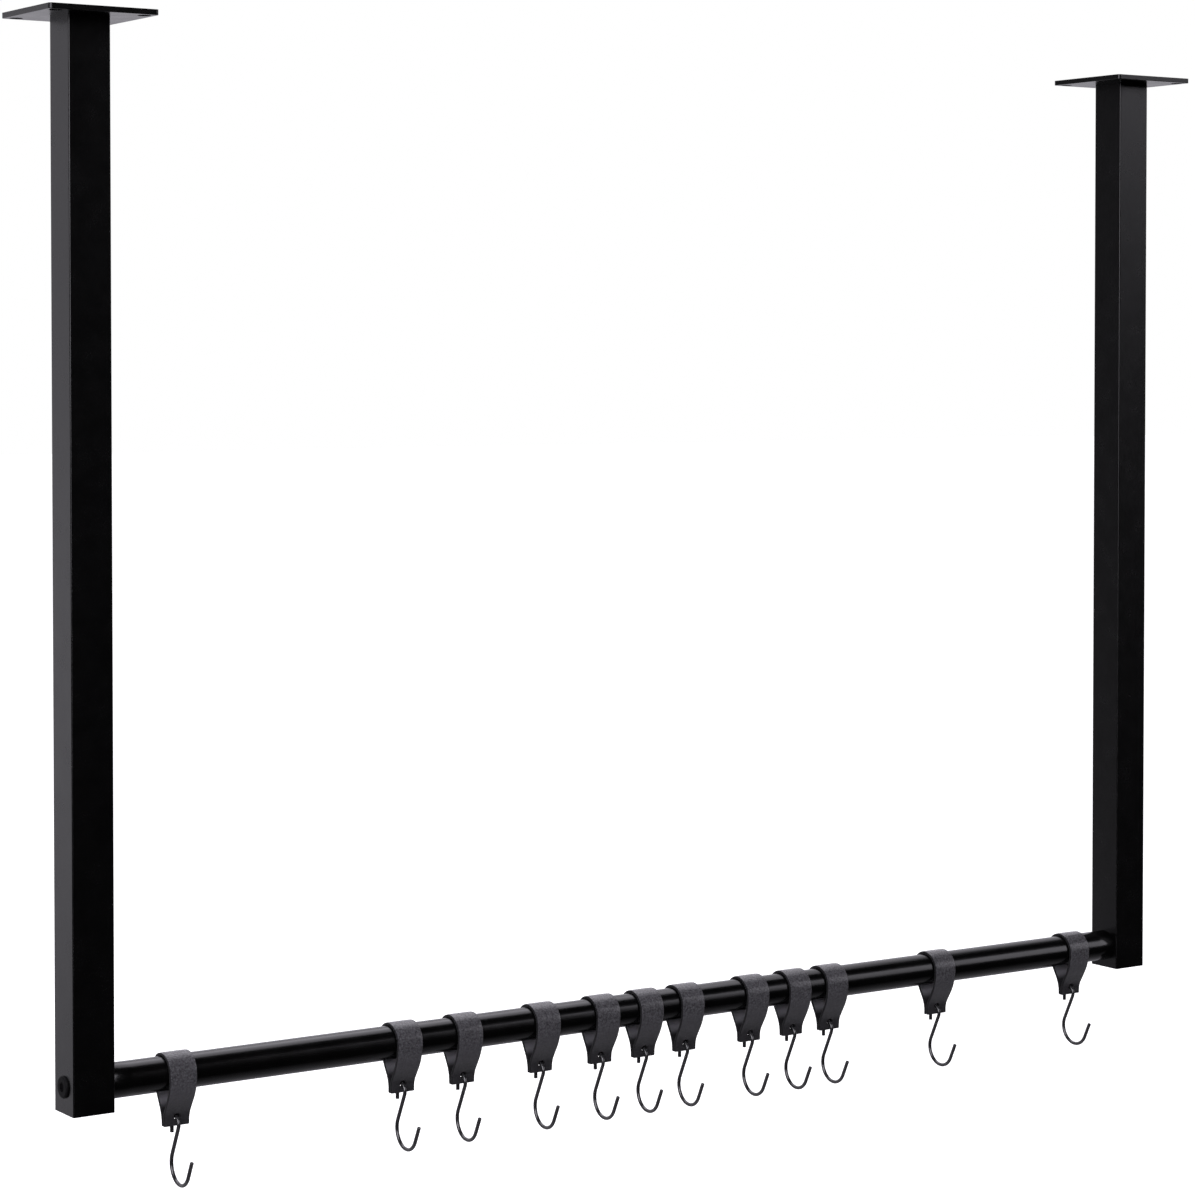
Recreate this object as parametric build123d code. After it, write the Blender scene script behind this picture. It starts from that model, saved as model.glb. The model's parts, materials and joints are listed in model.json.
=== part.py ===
"""Ceiling-hung clothes rail: two square posts on ceiling plates, a round rail between them,
and a row of leather strap loops that each carry a wire S-hook.

Frame: X runs along the rail, -Y is the front, +Z is up. The origin lies on the ceiling plane,
which the plates' upper faces meet, midway between the two posts. Lengths are millimetres.
"""
from build123d import *
import math
import os

# Posts
post_side = 40.0
post_wall = 3.0
post_length = 970.0
post_corner_radius = 1.2

# Post end caps
cap_thickness = 3.0
cap_clearance = 0.1

# Ceiling plates
plate_side = 104.0
plate_thickness = 5.0
plate_corner_radius = 3.0
plate_edge_round = 0.5
plate_hole_diameter = 12.0
plate_hole_inset = 10.0

# Rail
rail_clear_length = 1200.0
rail_diameter = 32.0
rail_wall = 2.0
rail_height_above_post_end = 24.0

# Rail plugs, welded into the rail's ends and threaded for the bolts
plug_length = 22.0
plug_clearance = 0.1

# Rail bolts, with low rounded heads on the posts' outer faces
bolt_diameter = 10.0
bolt_hole_clearance = 0.25
bolt_head_diameter = 20.0
bolt_head_height = 2.4
bolt_head_round = 1.6
bolt_socket_width = 8.0
bolt_socket_depth = 2.2
bolt_reach_into_plug = 18.0

# Strap loops
strap_width = 27.0
strap_end_width = 25.2
strap_thickness = 2.8
strap_rail_clearance = 0.3
strap_tail = 32.0
strap_leaf_gap = 0.4
strap_pinch_offset = -1.2
strap_pinch_height = 4.0
strap_hole_seat_height = 5.0
strap_front_hole_diameter = 6.8
strap_back_hole_diameter = 5.2

# Bends of the two leaves: how each leaf's room is shared between its arcs and its straight run
front_upper_share = 55.0
front_lower_share = 38.0
front_straight_share = 7.0
back_upper_share = 2.0
back_lower_share = 64.0
back_straight_share = 34.0

# Free rail left of the first strap and right of each strap, from left to right
first_strap_gap = 55.0
strap_gaps = (210, 40, 62, 43, 25, 23, 54, 27, 21, 117, 163, 39)

# S-hooks
hook_wire_diameter = 3.6
hook_seat_clearance = 0.2
hook_bend_offset = 0.25
hook_upper_radius = 6.95
hook_stub_length = 9.2
hook_leg_length = 28.4
hook_leg_lean = 26.0
hook_lower_radius = 17.8
hook_tip_length = 17.0

# Places that follow from the sizes
post_offset = (rail_clear_length + post_side) / 2
post_bottom = -plate_thickness - post_length
rail_z = post_bottom + rail_height_above_post_end
rail_radius = rail_diameter / 2
strap_ring_radius = rail_radius + strap_rail_clearance + strap_thickness / 2
strap_drop = rail_radius + strap_tail
bolt_hole_diameter = bolt_diameter + 2 * bolt_hole_clearance


def ceiling_plate(x):
    """Square plate against the ceiling with a screw hole near each corner."""
    plate = Pos(x, 0, -plate_thickness / 2) * Box(plate_side, plate_side, plate_thickness)
    plate = fillet(plate.edges().filter_by(Axis.Z), plate_corner_radius)
    plate = fillet(plate.faces().sort_by(Axis.Z)[0].outer_wire().edges(), plate_edge_round)
    spacing = plate_side - 2 * plate_hole_inset
    for spot in GridLocations(spacing, spacing, 2, 2):
        plate -= Pos(x, 0, -plate_thickness / 2) * spot * Cylinder(plate_hole_diameter / 2, 2 * plate_thickness)
    return plate


def post(x):
    """Square tube, welded under its plate and drilled through for the rail bolt."""
    tube = extrude(RectangleRounded(post_side, post_side, post_corner_radius), post_length)
    bore = post_side - 2 * post_wall
    tube -= extrude(Rectangle(bore, bore), post_length)
    bolt_hole = Rot(0, 90, 0) * Cylinder(bolt_hole_diameter / 2, 2 * post_side)
    tube -= Pos(0, 0, rail_height_above_post_end) * bolt_hole
    return Pos(x, 0, post_bottom) * tube


def post_cap(x):
    """Closing plate set flush into the post's lower end."""
    side = post_side - 2 * post_wall - 2 * cap_clearance
    return Pos(x, 0, post_bottom + cap_thickness / 2) * Box(side, side, cap_thickness)


def rail_tube():
    """Round tube between the posts' inner faces."""
    section = Circle(rail_radius) - Circle(rail_radius - rail_wall)
    tube = extrude(Plane.YZ * section, rail_clear_length / 2, both=True)
    return Pos(0, 0, rail_z) * tube


def rail_plug(side):
    """Threaded disc in one end of the rail; side is -1 for the left end and 1 for the right."""
    section = Circle(rail_radius - rail_wall - plug_clearance) - Circle(bolt_hole_diameter / 2)
    plug = extrude(Plane.YZ * section, -side * plug_length)
    return Pos(side * rail_clear_length / 2, 0, rail_z) * plug


def rail_bolt(side):
    """Low-headed socket bolt through the post into the rail's plug."""
    shank_length = post_side + bolt_reach_into_plug
    bolt = extrude(Circle(bolt_diameter / 2), -shank_length)
    head = extrude(Circle(bolt_head_diameter / 2), bolt_head_height)
    bolt += fillet(head.edges().sort_by(Axis.Z)[-1], bolt_head_round)
    socket = RegularPolygon(bolt_socket_width / 2, 6, major_radius=False)
    bolt -= Pos(0, 0, bolt_head_height - bolt_socket_depth) * extrude(socket, 2 * bolt_socket_depth)
    outer_face = Pos(side * (post_offset + post_side / 2), 0, rail_z)
    return outer_face * Rot(0, side * 90, 0) * bolt


def strap_leaf(end, ring_point, upper_share, lower_share, straight_share):
    """Middle line of one leaf, from its lower end up to the rail's side, in the plane across the rail.

    It rises straight, bends out, runs straight and bends back upright beside the rail. The two
    arcs share out the radius of the largest pair that would fit with no straight run between them.
    """
    pinch = end + Vector(0, strap_pinch_height)
    shift = abs(ring_point.X - end.X)
    rise = ring_point.Y - pinch.Y
    outward = 1 if ring_point.X > end.X else -1
    room = (rise**2 + shift**2) / (2 * shift) - strap_ring_radius
    share_unit = room / (upper_share + lower_share + straight_share)
    upper = strap_ring_radius + upper_share * share_unit
    lower = lower_share * share_unit
    both = upper + lower
    lean = math.atan2(rise, both - shift) - math.acos(both / math.hypot(both - shift, rise))
    run = (rise - both * math.sin(lean)) / math.cos(lean)
    turn = math.degrees(lean)
    tail = Line(end, pinch)
    out_bend = JernArc(pinch, (0, 1), lower, -outward * turn)
    straight = Line(out_bend @ 1, out_bend @ 1 + (out_bend % 1) * run)
    back_bend = JernArc(straight @ 1, straight % 1, upper, outward * turn)
    return [tail, out_bend, straight, back_bend]


def strap_band():
    """Leather strip folded over the rail, its leaves meeting below and pierced for the hook."""
    half_pinch = (strap_leaf_gap + strap_thickness) / 2
    front_end = Vector(strap_pinch_offset - half_pinch, -strap_drop)
    back_end = Vector(strap_pinch_offset + half_pinch, -strap_drop)
    front = strap_leaf(front_end, Vector(-strap_ring_radius, 0),
                       front_upper_share, front_lower_share, front_straight_share)
    back = strap_leaf(back_end, Vector(strap_ring_radius, 0),
                      back_upper_share, back_lower_share, back_straight_share)
    over_rail = CenterArc((0, 0), strap_ring_radius, 0, 180)
    section = trace(Curve() + front + back + over_rail, strap_thickness)
    band = extrude(Plane.YZ * section, strap_width / 2, both=True)

    # The strip narrows from the rail's middle down to its ends
    half = strap_width / 2
    half_end = strap_end_width / 2
    top = strap_ring_radius + strap_thickness
    outline = Polygon((-half, top), (half, top), (half, 0), (half_end, -strap_drop),
                      (-half_end, -strap_drop), (-half, 0), align=None)
    band &= extrude(Plane.XZ * outline, 2 * top, both=True)

    # The holes have their lower edges at one height, and the wire fills the smaller one at the back
    for outward, diameter in ((-1, strap_front_hole_diameter), (1, strap_back_hole_diameter)):
        hole = Rot(90, 0, 0) * Cylinder(diameter / 2, 2 * top)
        hole_height = strap_hole_seat_height + diameter / 2 - strap_drop
        band -= Pos(0, strap_pinch_offset + outward * top, hole_height) * hole
    return band


def hook_bend_height():
    """Height of the upper bend's centre from the rail's axis, with the wire seated in the strap's holes."""
    reach = strap_leaf_gap / 2 + strap_thickness + abs(hook_bend_offset)
    seat = strap_hole_seat_height - strap_drop
    inner_radius = hook_upper_radius - hook_wire_diameter / 2
    return seat + hook_seat_clearance - math.sqrt(inner_radius**2 - reach**2)


def s_hook():
    """Bent wire: a short stub behind the strap, a bend through its hole, a leaning leg and an open curl."""
    lean = math.radians(hook_leg_lean)
    bend_centre = Vector(strap_pinch_offset + hook_bend_offset, hook_bend_height())
    stub_top = bend_centre + Vector(hook_upper_radius, 0)
    stub = Line(stub_top - Vector(0, hook_stub_length), stub_top)
    upper_bend = JernArc(stub_top, (0, 1), hook_upper_radius, 180 + hook_leg_lean)
    leg_way = Vector(math.sin(lean), -math.cos(lean))
    leg = Line(upper_bend @ 1, upper_bend @ 1 + leg_way * hook_leg_length)
    lower_bend = JernArc(leg @ 1, leg_way, hook_lower_radius, -180)
    tip = Line(lower_bend @ 1, lower_bend @ 1 - leg_way * hook_tip_length)
    path = Plane.YZ * Wire([stub, upper_bend, leg, lower_bend, tip])
    section = Plane(origin=path @ 0, z_dir=path % 0) * Circle(hook_wire_diameter / 2)
    return sweep(section, path)


def strap_places():
    """X of each strap's middle: the gaps share the rail that the straps leave free."""
    free = rail_clear_length - len(strap_gaps) * strap_width
    unit = free / (first_strap_gap + sum(strap_gaps))
    places = []
    x = first_strap_gap * unit - rail_clear_length / 2
    for gap in strap_gaps:
        places.append(x + strap_width / 2)
        x += strap_width + gap * unit
    return places


def assembly():
    """Every piece of the rail by its name."""
    pieces = {"rail_tube": rail_tube()}
    for name, side in (("left", -1), ("right", 1)):
        pieces[f"{name}_ceiling_plate"] = ceiling_plate(side * post_offset)
        pieces[f"{name}_post"] = post(side * post_offset)
        pieces[f"{name}_post_cap"] = post_cap(side * post_offset)
        pieces[f"{name}_rail_plug"] = rail_plug(side)
        pieces[f"{name}_rail_bolt"] = rail_bolt(side)
    band = strap_band()
    hook = s_hook()
    for number, x in enumerate(strap_places(), start=1):
        pieces[f"strap_loop_{number:02d}"] = Pos(x, 0, rail_z) * band
        pieces[f"s_hook_{number:02d}"] = Pos(x, 0, rail_z) * hook
    return pieces


os.makedirs("parts", exist_ok=True)
for piece_name, solid in assembly().items():
    export_step(solid, f"parts/{piece_name}.step")
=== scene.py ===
import json
import math

import bpy
import numpy as np
from bpy.props import FloatProperty, FloatVectorProperty, PointerProperty
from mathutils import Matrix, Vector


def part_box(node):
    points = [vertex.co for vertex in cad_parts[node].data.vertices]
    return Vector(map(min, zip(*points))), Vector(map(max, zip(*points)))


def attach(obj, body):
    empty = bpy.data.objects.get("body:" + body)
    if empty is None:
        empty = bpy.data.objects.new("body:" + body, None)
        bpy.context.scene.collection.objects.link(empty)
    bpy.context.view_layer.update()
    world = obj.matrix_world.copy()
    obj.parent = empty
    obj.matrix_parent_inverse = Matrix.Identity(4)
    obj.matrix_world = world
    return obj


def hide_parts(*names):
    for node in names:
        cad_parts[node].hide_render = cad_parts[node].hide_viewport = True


bl_info = {
    "name": "Clothes Rail",
    "version": (1, 0, 0),
    "blender": (4, 5, 0),
    "location": "View3D > Sidebar > Clothes Rail",
    "description": "Dresses a ceiling-hung clothes rail with coated steel, leather loops and wire hooks",
    "category": "Object",
}

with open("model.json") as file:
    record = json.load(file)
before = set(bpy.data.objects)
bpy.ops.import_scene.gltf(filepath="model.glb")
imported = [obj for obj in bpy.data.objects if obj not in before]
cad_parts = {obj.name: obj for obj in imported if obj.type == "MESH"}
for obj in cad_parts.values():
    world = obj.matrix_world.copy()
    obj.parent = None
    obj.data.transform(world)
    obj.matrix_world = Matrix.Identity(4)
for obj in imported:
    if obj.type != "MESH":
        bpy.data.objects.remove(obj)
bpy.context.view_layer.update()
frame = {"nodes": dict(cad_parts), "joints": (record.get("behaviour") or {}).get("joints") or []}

# Names and places that the frame gives, in metres
LOOPS = sorted(name[-2:] for name in frame["nodes"] if name.startswith("strap_loop_"))
rail_low, rail_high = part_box("rail_tube")
strap_low, strap_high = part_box("strap_loop_01")
rail_axis_height = (rail_low.z + rail_high.z) / 2
swing_points = {joint["name"]: joint["pos_m"] for joint in frame["joints"] if joint["type"] == "hinge"}

# Fineness of the surfaces, and the angle from which an edge is sharp
RAIL_AROUND = 112
RAIL_STATIONS = 61
WIRE_AROUND = 20
WIRE_STATIONS = 150
HOLE_CELLS = 8
SIDE_CELLS = 14
END_CELLS = 6
ROUND_STEPS = 3
SHARP_ANGLE = math.radians(50)

# Columns of the strip's faces that the holes' cells take up
HOLE_FIRST = SIDE_CELLS
HOLE_LAST = SIDE_CELLS + HOLE_CELLS

# Small forms of the leather loops, in metres
HOLE_RIM = 0.0003
HOLE_DIP = 0.00016
HOLE_DIP_WIDTH = 0.0012
FACE_CROWN = 0.00028
EDGE_WAVE = 0.00007

# How those forms run: the wave's radians to the metre and from loop to loop, the crown's steepness, the
# inner side's share of the dip, and where the rings of the holes' walls lie through the leather
EDGE_WAVE_RATE = 210.0
EDGE_WAVE_SHIFT = 2.1
CROWN_POWER = 6
FLESH_DIP = 0.4
WALL_RINGS = (0.14, 0.5, 0.86)

# How far a hole draws the grid round it, and the length over which its slide fades, in half squares
HOLE_REACH = 1.9
SLIDE_FADE = 0.6

# Grain of the leather: its cells and waves to the metre, and how far it is moved from loop to loop
PEBBLE_SCALE = 400.0
CREASE_SCALE = 420.0
BROAD_SCALE = 90.0
STREAK_SCALE = (700.0, 260.0, 1.0)
GRAIN_STEP = (0.037, 0.011)
GRAIN_HEIGHT = 0.0003

# Shares of pebbles, creases, streaks and broad mottling in the leather's shade, and in its relief
SHADE_SHARES = {"pebble": 0.3, "crease": 0.4, "streak": 0.15, "broad": 0.15}
RELIEF_SHARES = {"pebble": 0.5, "crease": 0.8, "streak": 0.3}
MIDDLE_SHADE = 0.57

# The grain's strength over the rail and toward the ends, and how far down it grows calm
OPEN_GRAIN = 1.2
CALM_GRAIN = 0.3
CALM_DEPTH = 0.4

# Where painted shade darkens both sides, from the rail's middle at nought to the ends at one
PAINTED_END_SHADE_DEPTHS = (0.12, 0.8)
PAINTED_INSIDE_SHADE_DEPTHS = (0.5, 0.68)

# Roughness of the leather's outer side, from its darker to its lighter streaks, and of its other sides
STREAK_ROUGHNESS = (0.26, 0.2)
FLESH_ROUGHNESS = 0.7
EDGE_ROUGHNESS = 0.65

# Lamps: the setting of each one's glow, then its place, target, width and height in metres
LAMPS = {
    "key lamp": ("key_glow", (-4.29, -3.35, 1.59), (0.0, 0.0, -0.95), 6.0, 4.6),
    "side panel": ("side_glow", (23.1, -16.9, 9.1), (0.3, 0.0, -0.5), 16.6, 14.1),
    "top panel": ("top_glow", (0.1, 3.0, 5.05), (0.1, 3.0, 0.0), 9.5, 6.0),
}

# Width of the camera's sensor, in millimetres
SENSOR_WIDTH = 36.0

# Backdrop: where it fades overhead, by its climb from level, and to both sides, by the way's part along
# the rail, and the glow of the dim room elsewhere
BACKDROP_TOP = {"low": math.radians(55), "high": math.radians(82), "to_low": 1.0, "to_high": 0.0}
BACKDROP_LEFT = {"low": -0.8, "high": -0.1}
BACKDROP_RIGHT = {"low": 0.8, "high": 0.98, "to_low": 1.0, "to_high": 0.0}
ROOM_GLOW = 0.012

# Floor, in metres, and its glow to the camera
FLOOR_HALF_WIDTH = 60.0
FLOOR_FRONT = -1.2
FLOOR_BACK = 60.0
FLOOR_SHADE = (0.8, 0.8, 0.8, 1.0)
FLOOR_GLOW = 0.92

# The floor's glow in reflections: near and far by the distance behind the rail, and to the left by the
# direction from a point above the floor
NEAR_GLOW = {"low": -1.6, "high": 0.9, "to_high": 0.38}
FAR_GLOW = {"low": 2.0, "high": 12.0, "to_high": 0.34}
SWEEP_HEIGHT = 3.0
LEFT_FADE = {"low": -0.68, "high": -0.42}
LEFT_LIFT = {"low": -0.4, "high": 0.2, "to_low": 1.15, "to_high": 1.0}

WHITE = (1.0, 1.0, 1.0, 1.0)
BLACK = (0.0, 0.0, 0.0, 1.0)


def length(label, description, default):
    """A length in metres that the panel shows in the scene's units."""
    return FloatProperty(name=label, description=description, default=default,
                         min=0.0, precision=5, subtype="DISTANCE", unit="LENGTH")


def angle(label, description, degrees):
    """An angle that is given in degrees and kept in radians."""
    return FloatProperty(name=label, description=description, default=math.radians(degrees),
                         subtype="ANGLE", unit="ROTATION")


def share(label, description, default):
    """A number from nought to one."""
    return FloatProperty(name=label, description=description, default=default,
                         min=0.0, max=1.0, subtype="FACTOR")


def colour(label, description, default):
    """A linear red, green and blue colour."""
    return FloatVectorProperty(name=label, description=description, default=default,
                               min=0.0, max=1.0, size=3, subtype="COLOR")


def level(label, description, default):
    """Brightness of a lamp's face, where one is the white of the backdrop."""
    return FloatProperty(name=label, description=description, default=default, min=0.0)


class SteelFinish(bpy.types.PropertyGroup):
    """Finishes of the coated posts, plates and rail, of the blackened bolts and of the bare plugs."""
    coat_dark: colour("Coat, dark", "Darker shade of the black coat", (0.0006, 0.0006, 0.0006))
    coat_light: colour("Coat, light", "Lighter shade of the black coat", (0.0011, 0.0011, 0.0011))
    coat_roughness: share("Coat roughness", "Roughness of the posts' and plates' coat", 0.26)
    rail_roughness: share("Rail roughness", "Roughness of the rail's smoother coat", 0.21)
    bolt_dark: colour("Bolt, dark", "Darker shade of the blackened bolts", (0.0030, 0.0030, 0.0032))
    bolt_light: colour("Bolt, light", "Lighter shade of the blackened bolts", (0.0055, 0.0055, 0.0058))
    bolt_roughness: share("Bolt roughness", "Roughness of the blackened bolts", 0.6)
    plug_dark: colour("Plug, dark", "Darker shade of the bare plugs in the rail", (0.30, 0.30, 0.31))
    plug_light: colour("Plug, light", "Lighter shade of the bare plugs in the rail", (0.38, 0.38, 0.39))
    plug_roughness: share("Plug roughness", "Roughness of the bare plugs in the rail", 0.38)


class RailSizes(bpy.types.PropertyGroup):
    """Sizes of the rail's tube."""
    diameter: length("Diameter", "Outside diameter of the rail", 0.032)
    wall: length("Wall", "Thickness of the rail's wall", 0.002)
    end_bevel: length("End bevel", "Bevel on the rail's outer end edges", 0.0003)


class StrapSizes(bpy.types.PropertyGroup):
    """Sizes and finish of the leather loops."""
    width: length("Width", "Width of the strip over the rail", strap_high.x - strap_low.x)
    end_width: length("End width", "Width of the strip at its ends", 0.0252)
    thickness: length("Thickness", "Thickness of the leather", 0.0028)
    drop: length("Drop", "From the rail's middle down to the strip's ends", rail_axis_height - strap_low.z)
    rail_gap: length("Rail gap", "Room between the rail and the leather", 0.0003)
    leaf_gap: length("Leaf gap", "Room between the two leaves at their ends", 0.0004)
    pinch_back: FloatProperty(
        name="Pinch place", description="Place of the closed ends behind the rail's middle",
        default=-0.0012, precision=5, subtype="DISTANCE", unit="LENGTH")
    pinch_height: length("Pinch height", "Upright length of each leaf at its end", 0.004)
    front_upper: share("Front upper bend", "Share of its room that the front leaf's upper bend takes", 0.55)
    front_lower: share("Front lower bend", "Share of its room that the front leaf's lower bend takes", 0.38)
    back_upper: share("Back upper bend", "Share of its room that the back leaf's upper bend takes", 0.02)
    back_lower: share("Back lower bend", "Share of its room that the back leaf's lower bend takes", 0.64)
    seat_height: length("Hole seat", "Height of the holes' lower edges above the strip's ends", 0.005)
    front_hole: length("Front hole", "Diameter of the hole in the front leaf", 0.0068)
    back_hole: length("Back hole", "Height of the hole in the back leaf", 0.0052)
    back_hole_width: length("Back hole width", "Width of that hole, where it closes on the wire", 0.0041)
    edge_round: length("Edge rounding", "Rounding of the cut edges", 0.00045)
    corner_round: length("Corner rounding", "Rounding of the strip's corners", 0.0009)
    leather_dark: colour("Leather, dark", "Darker shade of the charcoal leather", (0.035, 0.0343, 0.0366))
    leather_light: colour("Leather, light", "Lighter shade of the charcoal leather", (0.105, 0.1029, 0.1099))
    leather_flesh: colour("Leather, flesh side", "Shade of the rough inner side", (0.200, 0.196, 0.209))
    # The cut edges' shade, also used as the painted shade of the inner side toward the closed ends
    leather_edge_and_inside_shade: colour("Leather edge", "Shade of the cut edges", (0.012, 0.012, 0.013))
    # Painted shade: the lower ends of the loops are painted darker by this share
    painted_end_shade: share("End shade", "How much the dressed ends are darker than the rest", 0.6)
    dressing: share("Dressing", "Weight of the smooth dressing over the grain", 0.6)
    dressing_roughness: share("Dressing roughness", "Roughness of that dressing", 0.24)


class HookSizes(bpy.types.PropertyGroup):
    """Sizes and finish of the wire hooks."""
    wire: length("Wire", "Diameter of the wire", 0.0036)
    upper_radius: length("Upper radius", "Radius of the bend through the strap", 0.00695)
    stub: length("Stub", "Straight end behind the strap", 0.0092)
    leg: length("Leg", "Straight length below the strap", 0.0284)
    lean: angle("Lean", "Lean of the leg from upright", 26.0)
    lower_radius: length("Lower radius", "Radius of the open curl", 0.0178)
    tip: length("Tip", "Straight end of the curl", 0.017)
    end_round: length("End rounding", "Rounding of the cut ends", 0.0003)
    wire_dark: colour("Wire, dark", "Darker shade of the black wire", (0.014, 0.014, 0.0148))
    wire_light: colour("Wire, light", "Lighter shade of the black wire", (0.024, 0.024, 0.0253))
    roughness: share("Roughness", "Roughness of the black wire", 0.2)


class StageSettings(bpy.types.PropertyGroup):
    """Camera, lamps and floor."""
    camera_place: FloatVectorProperty(
        name="Camera", description="Place of the camera",
        default=(-1.81213, -2.60067, -0.30726), subtype="TRANSLATION", unit="LENGTH")
    camera_heading: angle("Heading", "Turn of the camera to the right of the rail's back", 33.7975)
    camera_dip: angle("Dip", "Tilt of the camera below level", 1.6111)
    lens: FloatProperty(name="Lens", description="Focal length", default=95.846, min=1.0, unit="CAMERA")
    shift: FloatProperty(name="Shift", description="Upright shift of the lens", default=-0.125)
    floor_depth: length("Floor depth", "From the ceiling plane down to the floor", 2.3)
    key_glow: level("Key lamp", "Brightness of the wide lamp at the front left", 4.0)
    side_glow: level("Side panel", "Brightness of the wide panel at the front right", 2.15)
    top_glow: level("Top panel", "Brightness of the panel overhead", 1.7)
    light_tint: colour("Light tint", "Colour of the lamps and of the mirrored backdrop", (0.945, 0.92, 1.0))


def put_mesh(name, points, quads, others=(), uv=None, masks=None):
    """Mesh object at the origin from whole arrays of points and faces, smooth but for its sharp edges.

    uv holds one pair for each point, and masks holds named arrays of one number for each point. Points
    that no face uses are left out.
    """
    used = np.zeros(len(points), bool)
    used[quads] = True
    for face in others:
        used[face] = True
    number = np.cumsum(used) - 1
    faces = number[quads].tolist() + [number[face].tolist() for face in others]
    mesh = bpy.data.meshes.new(name)
    mesh.from_pydata(points[used].tolist(), [], faces)
    if mesh.validate():
        raise RuntimeError(f"{name} has faces that can't be used")
    mesh.shade_smooth()
    mesh.set_sharp_from_angle(angle=SHARP_ANGLE)
    if uv is not None:
        corners = np.zeros(len(mesh.loops), np.int32)
        mesh.loops.foreach_get("vertex_index", corners)
        layer = mesh.uv_layers.new(name="along")
        layer.data.foreach_set("uv", uv[used][corners].astype(np.float32).ravel())
    for mask_name, values in (masks or {}).items():
        mask = mesh.attributes.new(mask_name, "FLOAT", "POINT")
        mask.data.foreach_set("value", values[used].astype(np.float32))
    piece = bpy.data.objects.new(name, mesh)
    bpy.context.scene.collection.objects.link(piece)
    return piece


def grid_quads(rows, columns, closed_rows=False):
    """Faces of a grid of points that runs row by row, each row closed into a ring."""
    row = np.arange(rows if closed_rows else rows - 1)
    row, column = np.meshgrid(row, np.arange(columns), indexing="ij")
    next_row = (row + 1) % rows
    next_column = (column + 1) % columns
    corners = (row * columns + column, row * columns + next_column,
               next_row * columns + next_column, next_row * columns + column)
    return np.stack(corners, -1)


class BentPath:
    """Flat path of straight runs and arcs.

    The heading is linear in the length along each run, and the place is the running sum of short steps
    taken at the heading of each step's middle. runs holds a length and a turn for each run.
    """
    STEP = 0.0001

    def __init__(self, start, heading, runs):
        lengths, turns = np.array(runs).T
        self.marks = np.concatenate(([0.0], np.cumsum(lengths)))
        self.angles = heading + np.concatenate(([0.0], np.cumsum(turns)))
        self.total = self.marks[-1]
        self.along = np.linspace(0.0, self.total, int(self.total / self.STEP) + 2)
        middle = (self.along[1:] + self.along[:-1]) / 2
        heading = self.heading(middle)
        step = np.diff(self.along)
        self.across = start[0] + np.concatenate(([0.0], np.cumsum(np.cos(heading) * step)))
        self.height = start[1] + np.concatenate(([0.0], np.cumsum(np.sin(heading) * step)))

    def heading(self, along):
        """Heading at a length along the path."""
        return np.interp(along, self.marks, self.angles)

    def place(self, along, offset=0.0):
        """Point at a length along the path, moved to the path's left by offset."""
        heading = self.heading(along)
        across = np.interp(along, self.along, self.across) - offset * np.sin(heading)
        height = np.interp(along, self.along, self.height) + offset * np.cos(heading)
        return across, height


def set_back(distance, radius):
    """How far a rounded corner draws a side in, at a distance from the end that the corner rounds."""
    inside = np.maximum(radius - distance, 0.0)
    return radius - np.sqrt(np.maximum(radius**2 - inside**2, 0.0))


def rounded_end(radius):
    """Lengths from an end at which a rounding is drawn, from nought up to its radius."""
    return radius * (1 - np.sin(np.linspace(math.pi / 2, 0.0, ROUND_STEPS + 1)))


def rail_surface(sizes):
    """Round tube: a closed profile of outer wall, bevelled ends and bore, turned about the rail's axis.

    The first parameter runs round the profile, which lists places along the rail with their radii, and
    the second is the angle round the axis.
    """
    outer = sizes.diameter / 2
    inner = outer - sizes.wall
    bevel = sizes.end_bevel
    low, high = rail_low.x, rail_high.x
    body = np.linspace(low + bevel, high - bevel, RAIL_STATIONS)
    bore = np.linspace(high, low, RAIL_STATIONS)
    along = np.concatenate(([low], body, [high], bore))
    radius = np.concatenate(([outer - bevel], np.full(RAIL_STATIONS, outer), [outer - bevel],
                             np.full(RAIL_STATIONS, inner)))
    turn = np.linspace(0.0, 2 * np.pi, RAIL_AROUND, endpoint=False)
    points = np.stack(np.broadcast_arrays(
        along[:, None],
        radius[:, None] * np.cos(turn),
        rail_axis_height + radius[:, None] * np.sin(turn)), -1)
    quads = grid_quads(len(along), RAIL_AROUND, closed_rows=True)[..., ::-1]
    return points.reshape(-1, 3), quads.reshape(-1, 4)


def leaf_runs(sizes, ring_radius, end_place, ring_place, upper_share, lower_share):
    """Runs of a leaf from its end up to the rail's side: upright, bent out, straight and bent back.

    The bends join the upright end to an upright tangent beside the rail, and each takes a share of the
    radius that would leave no straight run between them.
    """
    rise = sizes.drop - sizes.pinch_height
    shift = abs(ring_place - end_place)
    room = (rise**2 + shift**2) / (2 * shift) - ring_radius
    upper = ring_radius + upper_share * room
    lower = lower_share * room
    both = upper + lower
    turn = math.atan2(rise, both - shift) - math.acos(both / math.hypot(both - shift, rise))
    run = (rise - both * math.sin(turn)) / math.cos(turn)
    return [(sizes.pinch_height, 0.0), (lower * turn, turn), (run, 0.0), (upper * turn, -turn)]


def strip_path(sizes, rail_radius):
    """Middle line of a leather strip, from the front leaf's end over the rail to the back leaf's end."""
    ring_radius = rail_radius + sizes.rail_gap + sizes.thickness / 2
    half_pinch = (sizes.leaf_gap + sizes.thickness) / 2
    front_end = sizes.pinch_back - half_pinch
    back_end = sizes.pinch_back + half_pinch
    front = leaf_runs(sizes, ring_radius, front_end, -ring_radius, sizes.front_upper, sizes.front_lower)
    back = leaf_runs(sizes, ring_radius, back_end, ring_radius, sizes.back_upper, sizes.back_lower)
    over_rail = (math.pi * ring_radius, -math.pi)
    return BentPath((front_end, -sizes.drop), math.pi / 2, [*front, over_rail, *reversed(back)])


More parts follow.
